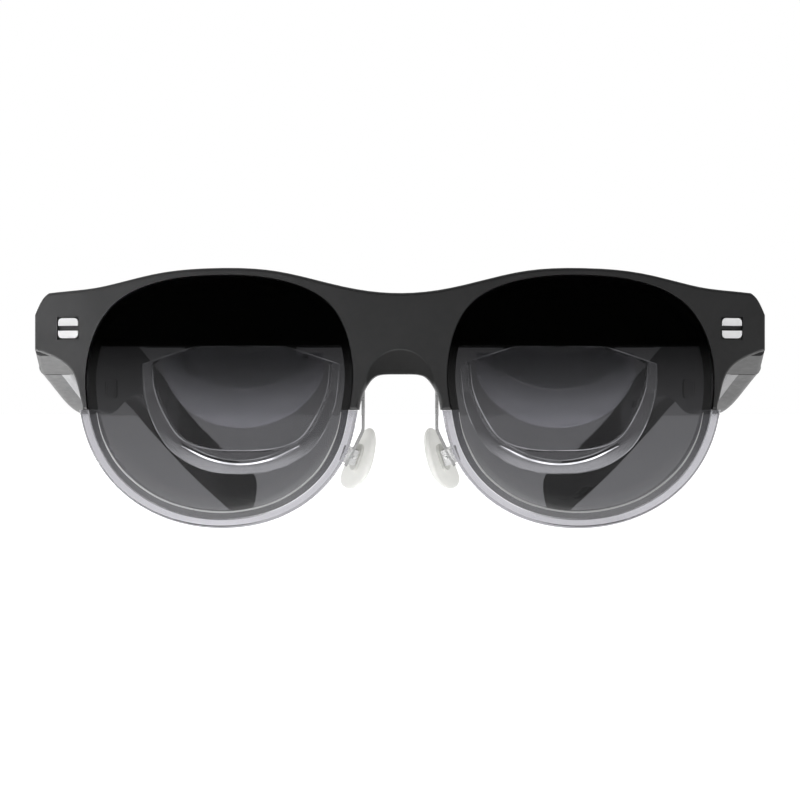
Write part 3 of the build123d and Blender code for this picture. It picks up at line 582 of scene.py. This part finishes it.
def smooth_line(points):
    """Catmull-Rom through the points, open at its ends."""
    ends = [(2 * points[0][0] - points[1][0], 2 * points[0][1] - points[1][1])]
    tail = [(2 * points[-1][0] - points[-2][0], 2 * points[-1][1] - points[-2][1])]
    p = ends + list(points) + tail
    line = []
    for i in range(1, len(p) - 2):
        for k in range(STEPS):
            t = k / STEPS
            line.append(tuple(
                0.5 * (2 * p[i][c] + (p[i + 1][c] - p[i - 1][c]) * t
                       + (2 * p[i - 1][c] - 5 * p[i][c] + 4 * p[i + 1][c] - p[i + 2][c]) * t * t
                       + (3 * p[i][c] - p[i - 1][c] - 3 * p[i + 1][c] + p[i + 2][c]) * t**3)
                for c in (0, 1)
            ))
    return line + [points[-1]]


def edge(name, spots, radius, material):
    """A fine bead along a line that thins out towards both ends."""
    curve = bpy.data.curves.new(name, "CURVE")
    curve.dimensions = "3D"
    curve.bevel_depth = radius / 1000
    curve.bevel_resolution = 2
    line = curve.splines.new("POLY")
    last = len(spots) - 1
    line.points.add(last)
    for i, (point, place) in enumerate(zip(line.points, spots)):
        point.co = (*place, 1)
        point.radius = min(1.0, 0.25 + 5 * min(i, last - i) / last)
    obj = bpy.data.objects.new(name, curve)
    scene.collection.objects.link(obj)
    curve.materials.append(material)
    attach(obj, "frame")


def both_ways(points):
    """The points and their mirror image, as one line."""
    return [(-x, z) for x, z in reversed(points[1:])] + list(points)


def lens_inset(inset):
    """The edge of the lens, moved inwards."""
    line = []
    for i, (x, z) in enumerate(LENS_EDGE):
        ahead = LENS_EDGE[(i + 1) % len(LENS_EDGE)]
        back = LENS_EDGE[i - 1]
        dx, dz = ahead[0] - back[0], ahead[1] - back[1]
        run = math.hypot(dx, dz)
        line.append((x + inset * dz / run, z - inset * dx / run))
    return line


# painted glints: beads that give off light of their own along the edges
GLINTS = {
    "inner": glint("glint_inner", 2.0, 4.6),
    "outer": glint("glint_outer", 1.2, 4.2),
    "slot": glint("glint_slot", 6.0, 22.0),
    "faint": glint("glint_faint", 1.2, 3.2),
}
# painted highlight: a grey bead along the inner edge of the clear rim that also gives off a little
# light
RIM_PAINTED_GLINT = moulded(
    "rim_painted_glint", grey(0.08), grey(0.12), 0.3, Emission_Color=WHITE, Emission_Strength=0.24
)
inset = lens_inset(RIM_LINE)
low_line = [p for p in smooth_line(inset[8:] + inset[:1]) if p[1] < SEAM - 0.1]


def scoop_line(side, points):
    """A line on the scoop of one eye."""
    return [spot(side * PUPIL + x, on_scoop(x, z), z) for x, z in smooth_line(points)]


# painted highlights: glowing beads along the scoop, its slot, the display optic and the clear rim
for side, word in ((1, "left"), (-1, "right")):
    inner = scoop_line(side, both_ways(SCOOP_INNER))
    edge(f"scoop_inner_glint_{word}", inner, 0.11, GLINTS["inner"])
    outer = scoop_line(side, both_ways(SCOOP_OUTER))
    edge(f"scoop_outer_glint_{word}", outer, 0.10, GLINTS["outer"])
    for way, tag in ((1, "a"), (-1, "b")):
        brow = [(way * x, z) for x, z in SCOOP_BROW]
        edge(f"scoop_top_glint_{word}_{tag}", scoop_line(side, brow), 0.09, GLINTS["outer"])
    edge(f"slot_top_glint_{word}", scoop_line(side, SLOT_TOP), 0.10, GLINTS["outer"])
    edge(f"slot_foot_glint_{word}", scoop_line(side, SLOT_FOOT), 0.17, GLINTS["slot"])
    arc = [spot(side * PUPIL + x, OPTIC_DEPTH, z) for x, z in smooth_line(OPTIC_ARC)]
    edge(f"optic_glint_{word}", arc, 0.08, GLINTS["faint"])
    rim = [spot(side * x, wrapped(x) + RIM_LIFT, z) for x, z in low_line]
    edge(f"rim_inner_glint_{word}", rim, 0.17, RIM_PAINTED_GLINT)

# --- stage, light and camera --------------------------------------------------------------------
FLOOR_SIZE = 3.0  # metres, far past the edges of the picture

bm = bmesh.new()
bmesh.ops.create_grid(bm, x_segments=8, y_segments=8, size=FLOOR_SIZE)
floor_mesh = bpy.data.meshes.new("floor")
bm.to_mesh(floor_mesh)
bm.free()
floor = bpy.data.objects.new("floor", floor_mesh)
scene.collection.objects.link(floor)
floor_mat = Mat("floor_white")
paint = floor_mat.node("ShaderNodeBsdfDiffuse", Color=(0.9, 0.9, 0.9, 1))
glow = floor_mat.node("ShaderNodeEmission", Color=WHITE, Strength=0.8)
floor_mat.surface(floor_mat.added(paint.outputs[0], glow.outputs[0]))
floor_mesh.materials.append(floor_mat.m)

# The room is dim on the camera's side and bright behind the object. The camera sees plain white.
world = bpy.data.worlds.new("studio")
room = Nodes(world, "ShaderNodeOutputWorld")
ahead = room.split(room.node("ShaderNodeTexCoord").outputs["Generated"])["Y"]
lit = room.node("ShaderNodeBackground", Color=WHITE)
room.link(room.remap(ahead, -0.35, 0.15, 0.10, 1.0), lit.inputs["Strength"])
seen = room.node("ShaderNodeBackground", Color=WHITE, Strength=1.0)
by_camera = room.node("ShaderNodeLightPath").outputs["Is Camera Ray"]
room.surface(room.mixed(by_camera, lit.outputs[0], seen.outputs[0]))
scene.world = world


def area(name, at, to, size, power):
    """A soft lamp that points at a place."""
    lamp = bpy.data.lights.new(name, "AREA")
    lamp.shape = "RECTANGLE"
    lamp.size, lamp.size_y = size
    lamp.energy = power
    obj = bpy.data.objects.new(name, lamp)
    obj.location = at
    obj.rotation_euler = (Vector(to) - Vector(at)).to_track_quat("-Z", "Y").to_euler()
    scene.collection.objects.link(obj)
    return obj


key = area(
    "key_left", at=(-0.135, -0.125, 0.065), to=(-0.074, -0.068, 0.042),
    size=(0.05, 0.06), power=0.35,
)
key.visible_glossy = False  # it lights the end piece without a hard reflection
area("top_soft", at=(0.0, 0.05, 0.8), to=(0.0, 0.0, 0.0), size=(0.8, 0.8), power=0.8)

cam = bpy.data.cameras.new("camera")
cam.sensor_width = 36.0
cam.lens = 76.15  # fits the width of the front in the photo
cam.clip_start = 0.01
eye = bpy.data.objects.new("camera", cam)
eye.location = (0.0, FRONT - CAMERA_GAP, EYE_HEIGHT)
eye.rotation_euler = (math.radians(90), 0, 0)
scene.collection.objects.link(eye)
scene.camera = eye
